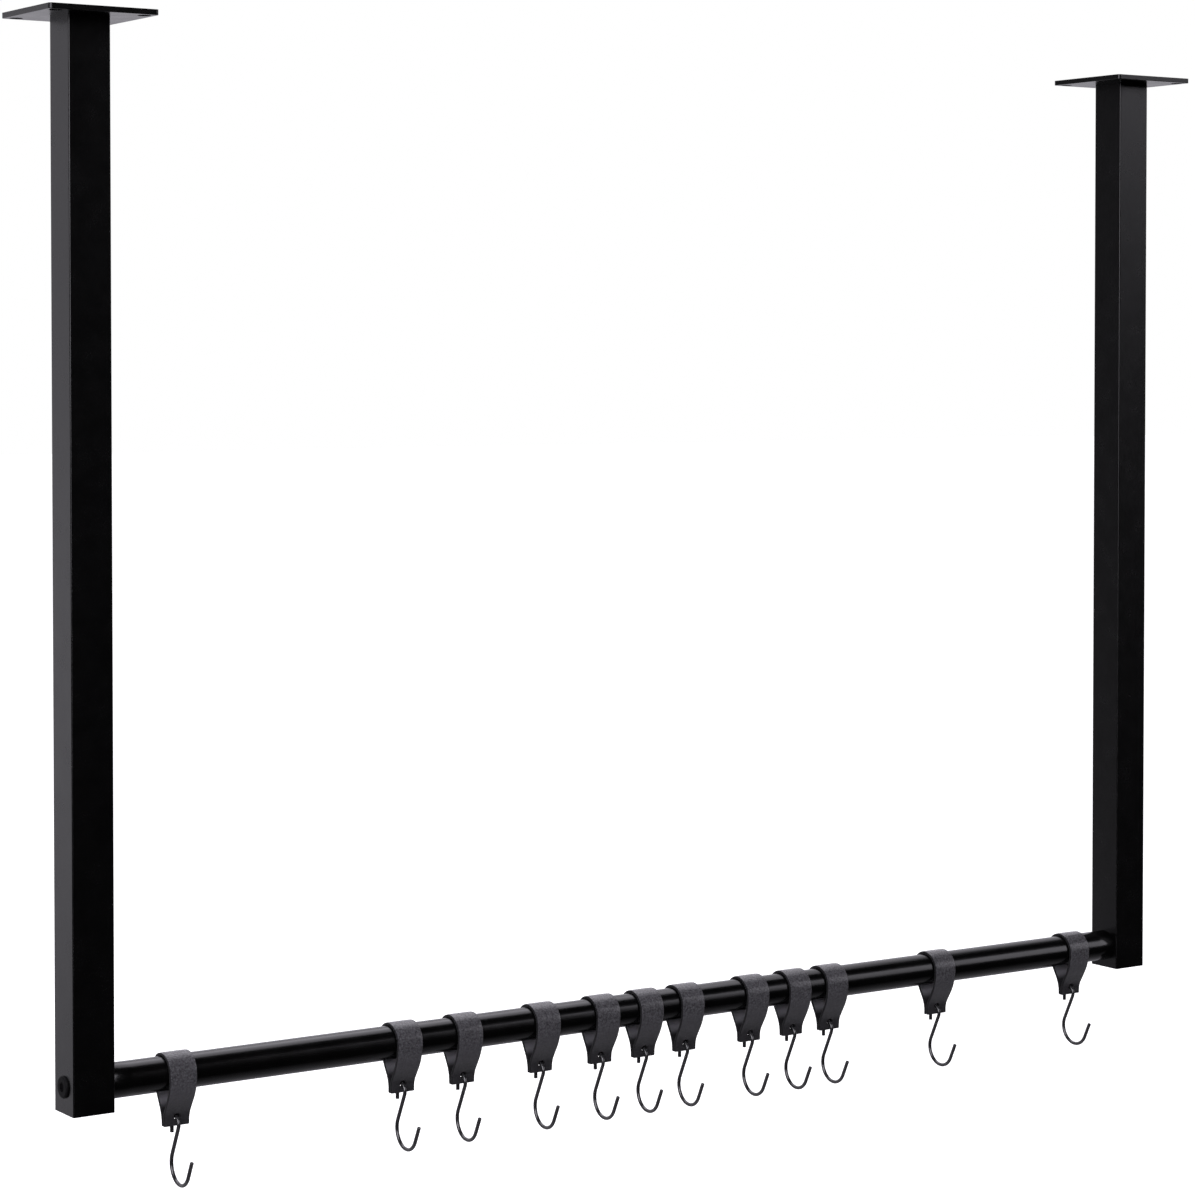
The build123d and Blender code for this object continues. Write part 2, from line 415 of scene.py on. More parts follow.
def strap_holes(sizes, path):
    """Place along the strip, radius and narrowing of the front leaf's hole, and of the back leaf's."""
    top = int(np.argmax(path.height))
    front_radius = sizes.front_hole / 2
    back_radius = sizes.back_hole / 2
    seat = sizes.seat_height - sizes.drop
    front = np.interp(seat + front_radius, path.height[:top], path.along[:top])
    back = np.interp(-seat - back_radius, -path.height[top:], path.along[top:])
    return (front, front_radius, 1.0), (back, back_radius, sizes.back_hole_width / sizes.back_hole)


def strap_rows(path, holes, half_square, edge):
    """Lengths along the strip: rounded ends, even steps, and steps that fit the two holes."""
    front, back = (hole[0] for hole in holes)
    rounding = rounded_end(edge)
    cells = np.linspace(-half_square, half_square, HOLE_CELLS + 1)[1:]
    between = int((back - front - 2 * half_square) / (2 * half_square / HOLE_CELLS))
    return np.concatenate((
        rounding,
        np.linspace(edge, front - half_square, END_CELLS + 1)[1:],
        front + cells,
        np.linspace(front + half_square, back - half_square, between + 1)[1:],
        back + cells,
        np.linspace(back + half_square, path.total - edge, END_CELLS + 1)[1:],
        path.total - rounding[-2::-1]))


def strap_columns(face_half, half_square):
    """Places across the strip's faces for each row: the holes' cells, and even steps out to both sides."""
    cells = np.linspace(-half_square, half_square, HOLE_CELLS + 1)
    inside = np.broadcast_to(cells, (len(face_half), HOLE_CELLS + 1))
    right = half_square + np.linspace(0.0, 1.0, SIDE_CELLS + 1)[1:] * (face_half[:, None] - half_square)
    return np.concatenate((-right[:, ::-1], inside, right), 1)


def open_hole(along, across, place, half_square, rim, narrow, slide):
    """Draws a square of the faces' grid to an oval of half height rim and slides it along the strip.

    A point's distance from the hole's middle changes by the difference between the circle and the
    square in its direction, and narrow then scales the circle's width. Both changes fade from the square
    out to its reach, and so does the slide. No face uses the points inside the square.
    """
    smallest = 1e-9
    on_square = 0.999 * half_square
    reach = HOLE_REACH * half_square
    out = along - place
    square = np.maximum(np.maximum(np.abs(out), np.abs(across)), smallest)
    distance = np.maximum(np.hypot(out, across), smallest)
    fade = np.clip((reach - square) / (reach - half_square), 0.0, 1.0)
    moved = distance + fade * (rim - half_square * distance / square)
    scale = np.where(square > on_square, moved / distance, 1.0)
    slid = slide * np.clip((reach - square) / (SLIDE_FADE * half_square), 0.0, 1.0)
    return place + out * scale + slid, across * scale * (1 - (1 - narrow) * fade)


class StripGrid:
    """Grid of a leather strip: rows along it, and in each row a ring of points round its cross-section.

    A ring runs over the outer face, the right cut edge, the inner face from right to left and the left cut
    edge. The numbers of two points across the leather from each other add up to mirrored.
    """

    def __init__(self, sizes, rail_radius, seed):
        self.sizes = sizes
        self.path = strip_path(sizes, rail_radius)
        self.holes = strap_holes(sizes, self.path)
        self.half_square = sizes.front_hole / 2 + HOLE_RIM
        self.rows = strap_rows(self.path, self.holes, self.half_square, sizes.edge_round)
        self.from_end = np.minimum(self.rows, self.path.total - self.rows)
        self.depth = np.clip(-self.path.place(self.rows)[1] / sizes.drop, 0.0, 1.0)
        self.wave = EDGE_WAVE * np.sin(self.rows * EDGE_WAVE_RATE + seed * EDGE_WAVE_SHIFT)

        # Full width over the rail, narrower to the ends, rounded at the corners
        half_width = (sizes.width + (sizes.end_width - sizes.width) * self.depth) / 2
        half_width = half_width - set_back(self.from_end, sizes.corner_round)
        self.columns = strap_columns(half_width - sizes.edge_round, self.half_square)
        self.face_count = self.columns.shape[1]
        self.edge_count = 2 * ROUND_STEPS
        self.ring_count = 2 * (self.face_count + self.edge_count)
        self.mirrored = 2 * self.face_count + self.edge_count - 1

    def face(self, side):
        """Outer face for a side of one, or inner face for minus one, drawn round the two holes.

        It gives lengths along the strip, places across it and offsets from its middle line. The holes run
        level through the leaning leaves, so they slide along the strip from one face to the other.
        """
        half = self.sizes.thickness / 2
        along = np.broadcast_to(self.rows[:, None], self.columns.shape)
        across = self.columns
        dip = np.zeros(self.columns.shape)
        for place, radius, narrow in self.holes:
            rim = radius + HOLE_RIM
            slide = -side * half / math.tan(self.path.heading(place))
            along, across = open_hole(along, across, place, self.half_square, rim, narrow, slide)
            away = np.maximum(np.hypot(along - place - slide, across) - rim, 0.0)
            dip += HOLE_DIP * np.exp(-(away / HOLE_DIP_WIDTH)**2)
        crown = FACE_CROWN * np.abs(self.columns / (self.sizes.width / 2))**CROWN_POWER
        hollow = crown + dip if side > 0 else FLESH_DIP * dip
        thin = set_back(self.from_end, self.sizes.edge_round)
        return along, across + self.wave[:, None], side * (half - thin[:, None] - hollow)

    def rings(self):
        """Points of all rings: the two faces joined by quarter rounds at both cut edges."""
        out_along, out_across, out_offset = self.face(1)
        in_along, in_across, in_offset = self.face(-1)
        turn = np.linspace(0.0, math.pi / 2, ROUND_STEPS + 1)[1:]
        reach = self.sizes.edge_round * np.sin(turn)
        fall = self.sizes.edge_round * (1 - np.cos(turn))
        edge_out = np.concatenate((reach, reach[::-1]))
        edge_along = np.broadcast_to(self.rows[:, None], (len(self.rows), self.edge_count))
        edge_offset = np.concatenate((out_offset[:, -1:] - fall, in_offset[:, -1:] + fall[::-1]), 1)
        along = np.concatenate((out_along, edge_along, in_along[:, ::-1], edge_along), 1)
        across = np.concatenate((out_across, out_across[:, -1:] + edge_out,
                                 in_across[:, ::-1], out_across[:, :1] - edge_out), 1)
        offset = np.concatenate((out_offset, edge_offset, in_offset[:, ::-1], edge_offset[:, ::-1]), 1)
        return np.stack((along.ravel(), across.ravel(), offset.ravel()), -1)

    def hole_row(self, place):
        """First row of the square of cells round a hole."""
        return int(np.argmin(np.abs(self.rows - (place - self.half_square))))

    def body_quads(self):
        """Faces between the rings, without the holes' cells."""
        quads = grid_quads(len(self.rows), self.ring_count)[..., ::-1]
        keep = np.ones(quads.shape[:2], bool)
        for place, _, _ in self.holes:
            low = self.hole_row(place)
            rows = slice(low, low + HOLE_CELLS)
            keep[rows, HOLE_FIRST:HOLE_LAST] = False
            keep[rows, self.mirrored - HOLE_LAST:self.mirrored - HOLE_FIRST] = False
        return quads[keep]

    def hole_walls(self, rings):
        """Points and faces of the holes' walls: short rings between the two faces' rims, drawn inward."""
        points = []
        quads = []
        added = len(rings)

        # Rows of the points round a square of cells. Their columns run the same way, a side ahead
        step = np.arange(HOLE_CELLS)
        rim = np.concatenate((0 * step, step, 0 * step + HOLE_CELLS, HOLE_CELLS - step))
        for place, radius, _ in self.holes:
            row = self.hole_row(place) + rim
            column = HOLE_FIRST + np.roll(rim, -HOLE_CELLS)
            outer_rim = row * self.ring_count + column
            inner_rim = row * self.ring_count + self.mirrored - column
            numbers = [outer_rim]
            for inward in WALL_RINGS:
                wall = rings[outer_rim] * (1 - inward) + rings[inner_rim] * inward
                middle = wall.mean(0)
                wall[:, :2] = middle[:2] + (wall[:, :2] - middle[:2]) * radius / (radius + HOLE_RIM)
                numbers.append(added + np.arange(len(wall)))
                added += len(wall)
                points.append(wall)
            numbers = np.stack(numbers + [inner_rim])
            beside = np.roll(numbers, -1, axis=1)
            corners = (numbers[:-1], beside[:-1], beside[1:], numbers[1:])
            quads.append(np.stack(corners, -1).reshape(-1, 4))
        return points, quads

    def end_faces(self):
        """Blunt ends: a ladder between the two faces' last points, and a face over each cut edge's end."""
        ladders = []
        caps = []
        for row, order in ((0, -1), (len(self.rows) - 1, 1)):
            start = row * self.ring_count
            outer = start + np.arange(self.face_count)
            inner = start + self.mirrored - np.arange(self.face_count)
            ladder = np.stack((outer[:-1], outer[1:], inner[1:], inner[:-1]), -1)
            ladders.append(ladder[:, ::order])
            right_cap = np.arange(outer[-1], inner[-1] + 1)
            left_cap = np.append(np.arange(inner[0], start + self.ring_count), start)
            caps += [right_cap[::order], left_cap[::order]]
        return ladders, caps

    def masks(self, wall_count):
        """Masks for the finish: cut edges, the flesh side and the way down to the ends.

        The points of the holes' walls come after the rings and count as cut edges at the ends.
        """
        counts = 2 * (self.face_count, self.edge_count)
        cut = np.repeat((0.0, 1.0, 0.0, 1.0), counts)
        cut = np.maximum(cut, (self.from_end < self.sizes.edge_round / 2)[:, None])
        flesh = np.repeat((0.0, 0.0, 1.0, 0.0), counts)
        flesh = np.broadcast_to(flesh, cut.shape)
        ends = np.broadcast_to(self.depth[:, None], cut.shape)
        walls = np.ones(wall_count)
        return {
            "cut_edge": np.append(cut, walls),
            "flesh_side": np.append(flesh, 0 * walls),
            "toward_end": np.append(ends, walls),
        }


def strap_surface(sizes, rail_radius, seed):
    """Leather strip: its cross-section carried along the strip's middle line, with two punched holes.

    The first parameter is the length along the strip and the second runs round the cross-section. Round
    the holes the faces' grid is drawn from squares to ovals, and short rings line the holes' walls. The
    flat places are then laid on the middle line, each one moved off it by its offset.
    """
    strip = StripGrid(sizes, rail_radius, seed)
    rings = strip.rings()
    wall_points, wall_quads = strip.hole_walls(rings)
    ladders, caps = strip.end_faces()
    flat = np.concatenate([rings] + wall_points)
    back, height = strip.path.place(flat[:, 0], flat[:, 2])
    points = np.stack((flat[:, 1], back, height + rail_axis_height), -1)
    quads = np.concatenate([strip.body_quads()] + wall_quads + ladders)
    uv = flat[:, [1, 0]] + np.multiply(GRAIN_STEP, seed)
    return points, quads, caps, uv, strip.masks(len(flat) - len(rings))


def hook_surface(sizes):
    """Bent wire: a circle carried along stub, upper bend, leg, lower bend and tip, with rounded ends.

    The first parameter is the length along the wire and the second is the angle round it. The place is
    measured from the upper bend's middle.
    """
    runs = [
        (sizes.stub, 0.0),
        (sizes.upper_radius * (math.pi + sizes.lean), math.pi + sizes.lean),
        (sizes.leg, 0.0),
        (sizes.lower_radius * math.pi, -math.pi),
        (sizes.tip, 0.0),
    ]
    path = BentPath((sizes.upper_radius, -sizes.stub), math.pi / 2, runs)
    rounding = rounded_end(sizes.end_round)
    body = np.linspace(sizes.end_round, path.total - sizes.end_round, WIRE_STATIONS)
    along = np.concatenate((rounding[:-1], body, path.total - rounding[-2::-1]))
    girth = sizes.wire / 2 - set_back(np.minimum(along, path.total - along), sizes.end_round)
    turn = np.linspace(0.0, 2 * np.pi, WIRE_AROUND, endpoint=False)
    back, height = path.place(along[:, None], girth[:, None] * np.cos(turn))
    side = girth[:, None] * np.sin(turn)
    points = np.stack(np.broadcast_arrays(side, back, height), -1).reshape(-1, 3)
    tips = np.array([[0.0, *path.place(0.0)], [0.0, *path.place(path.total)]])
    quads = grid_quads(len(along), WIRE_AROUND).reshape(-1, 4)
    ring = np.arange(WIRE_AROUND)
    after = np.roll(ring, -1)
    last = (len(along) - 1) * WIRE_AROUND
    pole = len(along) * WIRE_AROUND
    fans = np.concatenate((np.stack((after, ring, np.full(WIRE_AROUND, pole)), -1),
                           np.stack((last + ring, last + after, np.full(WIRE_AROUND, pole + 1)), -1)))
    return np.concatenate((points, tips)), quads, fans


def put_in(tree, socket, value):
    """Links another socket to this one, or sets a plain value in it."""
    if isinstance(value, bpy.types.NodeSocket):
        tree.links.new(value, socket)
    else:
        socket.default_value = value


def feed(tree, node, **values):
    """Puts sockets or plain values in a node's inputs, whose names have underscores for spaces here."""
    for name, value in values.items():
        put_in(tree, node.inputs[name.replace("_", " ")], value)


def add_node(tree, kind, settings=None, **values):
    """New shader node with its settings, and with sockets or plain values in its inputs."""
    node = tree.nodes.new(kind)
    for setting, value in (settings or {}).items():
        setattr(node, setting, value)
    feed(tree, node, **values)
    return node


def calculate(tree, operation, *values, kind="ShaderNodeMath"):
    """Result of a math node over sockets and plain values."""
    node = add_node(tree, kind, {"operation": operation})
    for socket, value in zip(node.inputs, values):
        put_in(tree, socket, value)
    return node.outputs[0]


def ease(tree, value, low, high, to_low=0.0, to_high=1.0):
    """Value that eases from one level to another as its input runs from low to high."""
    node = add_node(tree, "ShaderNodeMapRange", {"interpolation_type": "SMOOTHSTEP"}, Value=value,
                    From_Min=low, From_Max=high, To_Min=to_low, To_Max=to_high)
    return node.outputs["Result"]


def spread(tree, mask, low, high, from_low=0.3, from_high=0.7):
    """Value that runs evenly from low to high as the mask rises, by default over a noise's middle part."""
    node = add_node(tree, "ShaderNodeMapRange", Value=mask,
                    From_Min=from_low, From_Max=from_high, To_Min=low, To_Max=high)
    return node.outputs["Result"]


def mix_colours(tree, mask, first, second):
    """Colour that goes from the first to the second as the mask rises.

    Each colour is a socket or has red, green, blue and alpha. A Mix node has its sockets for every kind of
    data, so its factor and its colours are found by their numbers.
    """
    node = add_node(tree, "ShaderNodeMix", {"data_type": "RGBA"})
    for number, value in ((0, mask), (6, first), (7, second)):
        put_in(tree, node.inputs[number], value)
    return node.outputs[2]


def two_shades(tree, mask, dark, light, low=0.35, high=0.65):
    """Colour that runs from dark to light as the mask rises from low to high."""
    ramp = add_node(tree, "ShaderNodeValToRGB", Fac=mask)
    first, last = ramp.color_ramp.elements
    first.position = low
    first.color = (*dark, 1.0)
    last.position = high
    last.color = (*light, 1.0)
    return ramp.outputs["Color"]


def dimmed(shade, part):
    """A part of a colour's brightness."""
    return [part * channel for channel in shade]


def grain_group():
    """Shared surface grain: a fine and a broad noise over a given place."""
    name = "surface grain"
    if name in bpy.data.node_groups:
        return bpy.data.node_groups[name]
    tree = bpy.data.node_groups.new(name, "ShaderNodeTree")
    tree.interface.new_socket(name="Place", in_out="INPUT", socket_type="NodeSocketVector")
    for label in ("Fine", "Broad"):
        tree.interface.new_socket(name=f"{label} Scale", in_out="INPUT", socket_type="NodeSocketFloat")
        tree.interface.new_socket(name=label, in_out="OUTPUT", socket_type="NodeSocketFloat")
    source = tree.nodes.new("NodeGroupInput")
    result = tree.nodes.new("NodeGroupOutput")
    for label, detail, roughness in (("Fine", 2.0, 0.55), ("Broad", 4.0, 0.6)):
        noise = add_node(tree, "ShaderNodeTexNoise", Vector=source.outputs["Place"],
                         Scale=source.outputs[f"{label} Scale"], Detail=detail, Roughness=roughness)
        put_in(tree, result.inputs[label], noise.outputs["Fac"])
    return tree


def new_material(name):
    """Empty node material with a Principled shader, and that shader."""
    material = bpy.data.materials.new(name)
    material.use_nodes = True
    return material, material.node_tree, material.node_tree.nodes["Principled BSDF"]


def grain_node(tree, place, fine_scale, broad_scale):
    """The shared grain in one material, reading the given place socket."""
    return add_node(tree, "ShaderNodeGroup", {"node_tree": grain_group()}, Place=place,
                    Fine_Scale=fine_scale, Broad_Scale=broad_scale)


def coated_steel(name, dark, light, roughness, fine_scale, ripple, specular=0.5, metallic=0.0):
    """Black coat, plating or bare steel: faint mottling of shade and gloss, and a low ripple."""
    broad_scale = 45.0
    gloss_change = 0.02
    material, tree, shader = new_material(name)
    place = tree.nodes.new("ShaderNodeTexCoord").outputs["Object"]
    grain = grain_node(tree, place, fine_scale, broad_scale)
    shade = two_shades(tree, grain.outputs["Broad"], dark, light)
    gloss = spread(tree, grain.outputs["Broad"], roughness - gloss_change, roughness + gloss_change)
    bump = add_node(tree, "ShaderNodeBump", Height=grain.outputs["Fine"], Strength=1.0, Distance=ripple)
    feed(tree, shader, Base_Color=shade, Roughness=gloss, Normal=bump.outputs["Normal"],
         Specular_IOR_Level=specular, Metallic=metallic)
    return material


def leather_grain(tree, noise, uv, toward_end):
    """Mottling and relief of the leather's outer side, and the streaks in it.

    Pebbles with narrow valleys, short creases and faint streaks along the strip are added up, and the
    mottling has broad patches too. The grain opens over the rail, where the leather is stretched, and lies
    calmer toward the ends.
    """
    stretch = add_node(tree, "ShaderNodeMapping", Vector=uv, Scale=STREAK_SCALE)
    streaks = add_node(tree, "ShaderNodeTexNoise", Vector=stretch.outputs["Vector"],
                       Scale=1.0, Detail=3.0, Roughness=0.6)
    pebbles = add_node(tree, "ShaderNodeTexVoronoi", {"feature": "DISTANCE_TO_EDGE"},
                       Vector=uv, Scale=PEBBLE_SCALE)
    streak = streaks.outputs["Fac"]
    pebble = ease(tree, pebbles.outputs["Distance"], low=0.0, high=0.3)
    crease = ease(tree, noise.outputs["Fine"], low=0.35, high=0.6)
    opened = ease(tree, toward_end, 0.0, CALM_DEPTH, OPEN_GRAIN, CALM_GRAIN)

    mottle = calculate(tree, "ADD", spread(tree, streak, 0.0, SHADE_SHARES["streak"]),
                       spread(tree, noise.outputs["Broad"], 0.0, SHADE_SHARES["broad"]))
    mottle = calculate(tree, "MULTIPLY_ADD", pebble, SHADE_SHARES["pebble"], mottle)
    mottle = calculate(tree, "MULTIPLY_ADD", crease, SHADE_SHARES["crease"], mottle)
    from_middle = calculate(tree, "SUBTRACT", mottle, MIDDLE_SHADE)
    mottle = calculate(tree, "MULTIPLY_ADD", from_middle, opened, MIDDLE_SHADE)

    relief = calculate(tree, "MULTIPLY_ADD", pebble, RELIEF_SHARES["pebble"],
                       spread(tree, streak, 0.0, RELIEF_SHARES["streak"]))
    relief = calculate(tree, "MULTIPLY_ADD", crease, RELIEF_SHARES["crease"], relief)
    return mottle, calculate(tree, "MULTIPLY", relief, opened), streak


def charcoal_leather(sizes):
    """Charcoal leather: dressed grain, painted shade to the ends, dark cut edges and a matt flesh side."""
    material, tree, shader = new_material("charcoal leather")
    uv = add_node(tree, "ShaderNodeUVMap", {"uv_map": "along"}).outputs["UV"]
    cut, flesh, toward_end = (add_node(tree, "ShaderNodeAttribute", {"attribute_name": name}).outputs["Fac"]
                              for name in ("cut_edge", "flesh_side", "toward_end"))
    noise = grain_node(tree, uv, CREASE_SCALE, BROAD_SCALE)
    mottle, relief, streak = leather_grain(tree, noise, uv, toward_end)

    # Shade: the outer side and the inner side, both with painted shade toward the closed ends, then the cut
    # edges
    painted_end_part = 1 - sizes.painted_end_shade
    edge_part = 0.6
    face = two_shades(tree, mottle, sizes.leather_dark, sizes.leather_light, 0.0, 1.0)
    # Painted shade: the same grain in darker shades for the lower ends
    ends = two_shades(tree, mottle, dimmed(sizes.leather_dark, painted_end_part),
                      dimmed(sizes.leather_light, painted_end_part), 0.0, 1.0)
    edge = two_shades(tree, noise.outputs["Fine"], dimmed(sizes.leather_edge_and_inside_shade, edge_part), sizes.leather_edge_and_inside_shade)
    # Painted shade: the inner side goes to the cut edges' dark shade between the closed ends
    inside = mix_colours(tree, ease(tree, toward_end, *PAINTED_INSIDE_SHADE_DEPTHS),
                         (*sizes.leather_flesh, 1.0), (*sizes.leather_edge_and_inside_shade, 1.0))
    outside = mix_colours(tree, ease(tree, toward_end, *PAINTED_END_SHADE_DEPTHS), face, ends)
    shade = mix_colours(tree, cut, mix_colours(tree, flesh, outside, inside), edge)

    # Relief and gloss: the dressing lies smooth on the outer side alone
    bump = add_node(tree, "ShaderNodeBump", Height=relief, Strength=1.0, Distance=GRAIN_HEIGHT)
    gloss = calculate(tree, "MAXIMUM", spread(tree, streak, *STREAK_ROUGHNESS),
                      calculate(tree, "MULTIPLY", flesh, FLESH_ROUGHNESS))
    gloss = calculate(tree, "MAXIMUM", gloss, calculate(tree, "MULTIPLY", cut, EDGE_ROUGHNESS))
    undressed = calculate(tree, "MAXIMUM", cut, flesh)
    dressing = spread(tree, undressed, sizes.dressing, 0.0, from_low=0.0, from_high=1.0)
    feed(tree, shader, Base_Color=shade, Roughness=gloss, Normal=bump.outputs["Normal"],
         Coat_Weight=dressing, Coat_Roughness=sizes.dressing_roughness,
         Specular_IOR_Level=0.12, Sheen_Weight=0.05)
    return material


def finish_nodes(material, *nodes):
    """Gives CAD nodes a finished material in their own slot."""
    for node in nodes:
        frame["nodes"][node].material_slots[0].material = material


def dress(piece, material, body, slot, *nodes):
    """Puts a finished piece in the place of CAD nodes, on the body that they ride on."""
    piece.data.materials.append(material)
    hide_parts(*nodes)
    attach(piece, body)


class FinishFrame(bpy.types.Operator):
    """Coats the posts, ceiling plates and end caps, and finishes the bolts and the plugs inside the rail"""
    bl_idname = "clothes_rail.finish_frame"
    bl_label = "Posts, plates and bolts"

    def execute(self, context):
        steel = context.scene.clothes_rail_steel
        coat = coated_steel("black coat", steel.coat_dark, steel.coat_light, steel.coat_roughness,
                            fine_scale=800.0, ripple=0.000001)
        bolts = coated_steel("blackened bolt", steel.bolt_dark, steel.bolt_light, steel.bolt_roughness,
                             fine_scale=2600.0, ripple=0.000002, specular=0.12)
        bare = coated_steel("bare steel", steel.plug_dark, steel.plug_light, steel.plug_roughness,
                            fine_scale=1800.0, ripple=0.000003, metallic=1.0)
        for side in ("left", "right"):
            finish_nodes(coat, f"{side}_ceiling_plate", f"{side}_post", f"{side}_post_cap")
            finish_nodes(bolts, f"{side}_rail_bolt")
            finish_nodes(bare, f"{side}_rail_plug")
        return {"FINISHED"}


class BuildRail(bpy.types.Operator):
    """Turns the rail's tube and coats it"""
    bl_idname = "clothes_rail.build_rail"
    bl_label = "Rail"

    def execute(self, context):
        steel = context.scene.clothes_rail_steel
        points, quads = rail_surface(context.scene.clothes_rail_tube)
        rail = put_mesh("rail", points, quads)
        coat = coated_steel("rail coat", steel.coat_dark, steel.coat_light, steel.rail_roughness,
                            fine_scale=800.0, ripple=0.0000006)
        dress(rail, coat, "frame", "rail_black", "rail_tube")
        return {"FINISHED"}


class BuildStraps(bpy.types.Operator):
    """Folds the leather loops over the rail"""
    bl_idname = "clothes_rail.build_straps"
    bl_label = "Leather loops"

    def execute(self, context):
        sizes = context.scene.clothes_rail_straps
        rail_radius = context.scene.clothes_rail_tube.diameter / 2
        leather = charcoal_leather(sizes)
        for seed, loop in enumerate(LOOPS):
            low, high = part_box(f"strap_loop_{loop}")
            points, quads, caps, uv, masks = strap_surface(sizes, rail_radius, seed)
            points[:, 0] += (low.x + high.x) / 2
            strap = put_mesh(f"leather_loop_{loop}", points, quads, caps, uv, masks)
            dress(strap, leather, f"strap_{loop}", "leather", f"strap_loop_{loop}")
        return {"FINISHED"}


class BuildHooks(bpy.types.Operator):
    """Bends the wire hooks through the loops' holes"""
    bl_idname = "clothes_rail.build_hooks"
    bl_label = "Wire hooks"

    def execute(self, context):
        sizes = context.scene.clothes_rail_hooks
        coat = coated_steel("black wire", sizes.wire_dark, sizes.wire_light, sizes.roughness,
                            fine_scale=2400.0, ripple=0.000001, specular=0.9)
        points, quads, fans = hook_surface(sizes)
        for loop in LOOPS:
            place = np.array(swing_points[f"hook_{loop}_swing"])
            hook = put_mesh(f"wire_hook_{loop}", points + place, quads, fans)
            dress(hook, coat, f"hook_{loop}", "wire_black", f"s_hook_{loop}")
        return {"FINISHED"}


def area_lamp(name, place, target, width, height, glow, tint):
    """Rectangular lamp turned to a target, with the power that makes its face as bright as glow."""
    lamp = bpy.data.lights.new(name, "AREA")
    lamp.shape = "RECTANGLE"
    lamp.size = width
    lamp.size_y = height
    lamp.energy = glow * math.pi * width * height
    lamp.color = tint
    holder = bpy.data.objects.new(name, lamp)
    holder.location = place
    way = np.array(target) - np.array(place)
    flat = math.hypot(way[0], way[1])
    holder.rotation_euler = (math.atan2(flat, -way[2]), 0.0, math.atan2(-way[0], way[1]))
    holder.visible_camera = False
    bpy.context.scene.collection.objects.link(holder)


def ray_mask(tree, *rays):
    """One for the named kinds of ray, and nought for the others."""
    path = tree.nodes.new("ShaderNodeLightPath")
    total = path.outputs[rays[0]]
    for ray in rays[1:]:
        total = calculate(tree, "MAXIMUM", total, path.outputs[ray])
    return total


def parts_of(tree, vector):
    """The three parts of a vector socket."""
    return add_node(tree, "ShaderNodeSeparateXYZ", Vector=vector).outputs


def white_studio(tint):
    """World that is white to the camera.

    Other rays meet a bright backdrop behind the rail, which fades to both sides and overhead, and a dim
    room elsewhere.
    """
    world = bpy.data.worlds.new("white studio")
    bpy.context.scene.world = world
    world.use_nodes = True
    tree = world.node_tree
    way = parts_of(tree, tree.nodes.new("ShaderNodeTexCoord").outputs["Generated"])
    climb = calculate(tree, "ABSOLUTE", calculate(tree, "ARCTAN2", way["Z"], way["Y"]))
    sides = calculate(tree, "MULTIPLY", ease(tree, way["X"], **BACKDROP_LEFT),
                      ease(tree, way["X"], **BACKDROP_RIGHT))
    backdrop = calculate(tree, "MULTIPLY", ease(tree, climb, **BACKDROP_TOP), sides)
    glow = calculate(tree, "MULTIPLY_ADD", backdrop, 1 - ROOM_GLOW, ROOM_GLOW)
    seen = ray_mask(tree, "Is Camera Ray", "Is Transmission Ray")
    feed(tree, tree.nodes["Background"], Strength=calculate(tree, "MAXIMUM", seen, glow),
         Color=mix_colours(tree, seen, (*tint, 1.0), WHITE))


def sweep_glow(tree):
    """Glow of the floor in reflections, which fades to the front and to the left, as on a lit sweep."""
    place = tree.nodes.new("ShaderNodeTexCoord").outputs["Object"]
    back = parts_of(tree, place)["Y"]
    lifted = calculate(tree, "MULTIPLY_ADD", place, (1.0, 1.0, 0.0), (0.0, 0.0, SWEEP_HEIGHT),
                       kind="ShaderNodeVectorMath")
    outward = calculate(tree, "NORMALIZE", lifted, kind="ShaderNodeVectorMath")
    side = parts_of(tree, outward)["X"]
    depth_glow = calculate(tree, "ADD", ease(tree, back, **NEAR_GLOW), ease(tree, back, **FAR_GLOW))
    side_glow = calculate(tree, "MULTIPLY", ease(tree, side, **LEFT_FADE), ease(tree, side, **LEFT_LIFT))
    return calculate(tree, "MULTIPLY", depth_glow, side_glow)


def pale_floor(depth, tint):
    """Pale floor under and behind the rail, white to the camera but for its shadow, dimmer in reflections."""
    corners = ((-1, FLOOR_FRONT), (1, FLOOR_FRONT), (1, FLOOR_BACK), (-1, FLOOR_BACK))
    points = np.array([(side * FLOOR_HALF_WIDTH, back, -depth) for side, back in corners])
    floor = put_mesh("floor", points, np.array([[0, 1, 2, 3]]))
    material, tree, shader = new_material("pale floor")
    mirrored = ray_mask(tree, "Is Glossy Ray")
    seen = ray_mask(tree, "Is Camera Ray", "Is Transmission Ray")
    mirrored_glow = calculate(tree, "MULTIPLY", mirrored, sweep_glow(tree))
    lift = calculate(tree, "MULTIPLY_ADD", seen, FLOOR_GLOW, mirrored_glow)
    shade = mix_colours(tree, mirrored, FLOOR_SHADE, BLACK)
    glow = mix_colours(tree, mirrored, WHITE, (*tint, 1.0))
    feed(tree, shader, Base_Color=shade, Roughness=0.9, Emission_Color=glow, Emission_Strength=lift)
    floor.data.materials.append(material)


def main_camera(scene, stage):
    """Camera at its place, turned by its heading and dip, with a lens that is shifted upright."""
    lens = bpy.data.cameras.new("camera")
    lens.lens = stage.lens
    lens.sensor_width = SENSOR_WIDTH
    lens.shift_y = stage.shift
    camera = bpy.data.objects.new("camera", lens)
    camera.location = stage.camera_place
    camera.rotation_euler = (math.pi / 2 - stage.camera_dip, 0.0, -stage.camera_heading)
    scene.collection.objects.link(camera)
    scene.camera = camera


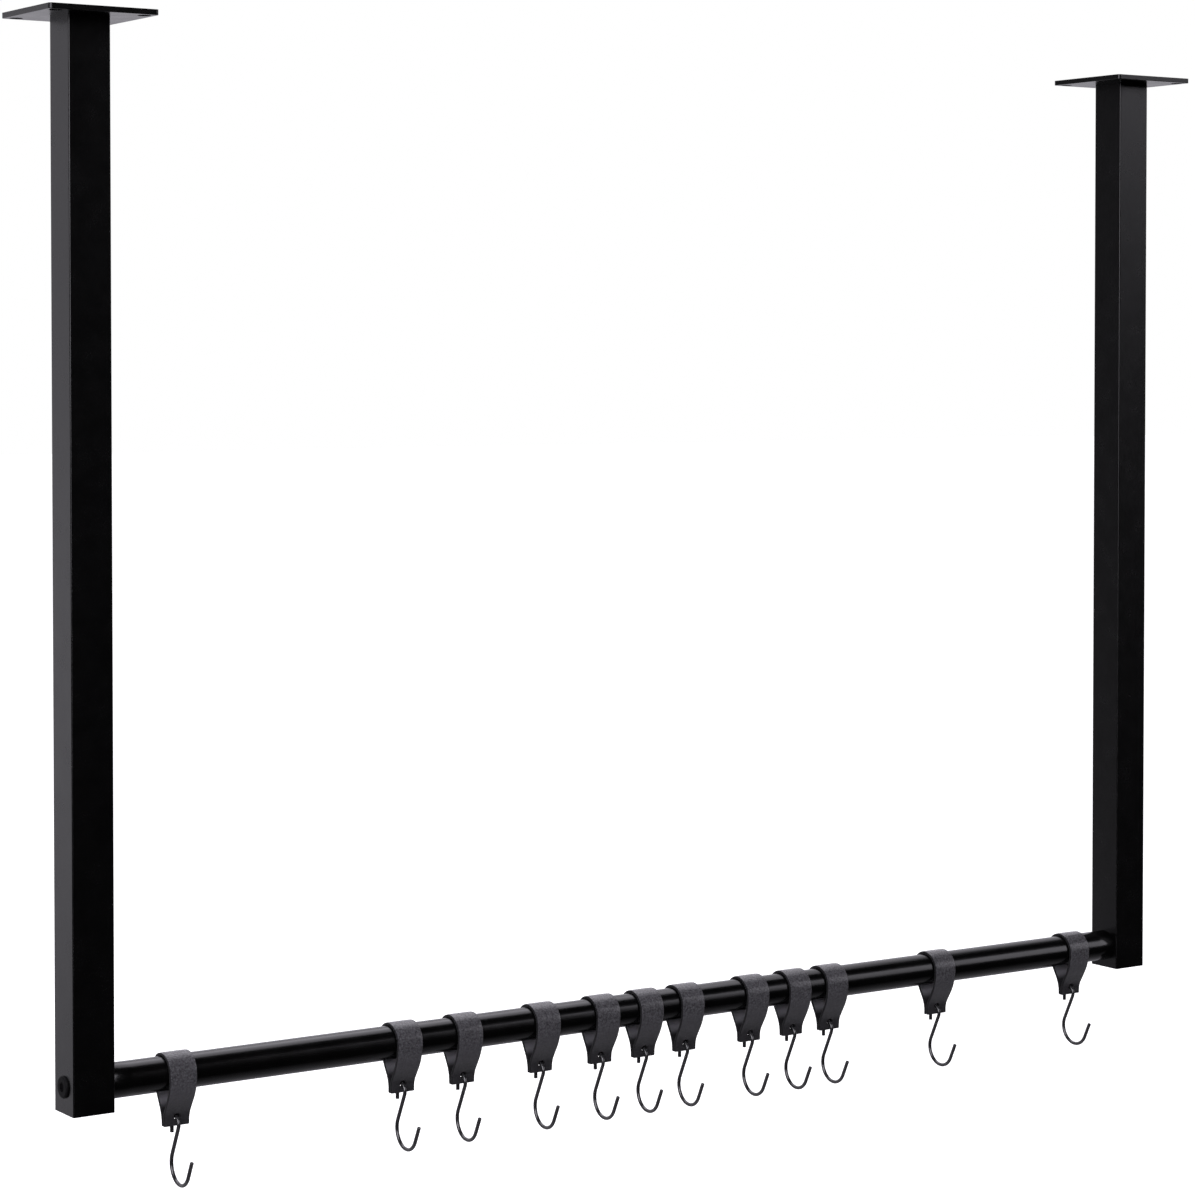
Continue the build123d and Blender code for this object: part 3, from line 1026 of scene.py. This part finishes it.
class SetStage(bpy.types.Operator):
    """Sets the camera, lamps, white surroundings and floor"""
    bl_idname = "clothes_rail.set_stage"
    bl_label = "Camera, lamps and floor"

    def execute(self, context):
        stage = context.scene.clothes_rail_stage
        main_camera(context.scene, stage)
        context.scene.view_settings.view_transform = "Standard"
        white_studio(stage.light_tint)
        pale_floor(stage.floor_depth, stage.light_tint)
        for name, (setting, *form) in LAMPS.items():
            area_lamp(name, *form, getattr(stage, setting), stage.light_tint)
        return {"FINISHED"}


class RailPanel(bpy.types.Panel):
    """Lists the clothes rail's pieces with their sizes and finishes"""
    bl_idname = "VIEW3D_PT_clothes_rail"
    bl_label = "Clothes Rail"
    bl_space_type = "VIEW_3D"
    bl_region_type = "UI"
    bl_category = "Clothes Rail"

    def draw(self, context):
        for operator, _, settings in STEPS:
            box = self.layout.box()
            box.operator(operator.bl_idname)
            group = getattr(context.scene, settings)
            for name in group.bl_rna.properties.keys():
                if name not in ("rna_type", "name"):
                    box.prop(group, name)


# Operators, each with its settings and the name that the scene keeps them under
STEPS = (
    (FinishFrame, SteelFinish, "clothes_rail_steel"),
    (BuildRail, RailSizes, "clothes_rail_tube"),
    (BuildStraps, StrapSizes, "clothes_rail_straps"),
    (BuildHooks, HookSizes, "clothes_rail_hooks"),
    (SetStage, StageSettings, "clothes_rail_stage"),
)


def register():
    """Registers the settings, the operators and the panel."""
    for operator, group, settings in STEPS:
        bpy.utils.register_class(group)
        setattr(bpy.types.Scene, settings, PointerProperty(type=group))
        bpy.utils.register_class(operator)
    bpy.utils.register_class(RailPanel)


def unregister():
    """Takes back what register put in place."""
    bpy.utils.unregister_class(RailPanel)
    for operator, group, settings in reversed(STEPS):
        bpy.utils.unregister_class(operator)
        delattr(bpy.types.Scene, settings)
        bpy.utils.unregister_class(group)


def main():
    """Builds every piece in order."""
    register()
    bpy.ops.clothes_rail.finish_frame()
    bpy.ops.clothes_rail.build_rail()
    bpy.ops.clothes_rail.build_straps()
    bpy.ops.clothes_rail.build_hooks()
    bpy.ops.clothes_rail.set_stage()


if __name__ == "__main__":
    main()
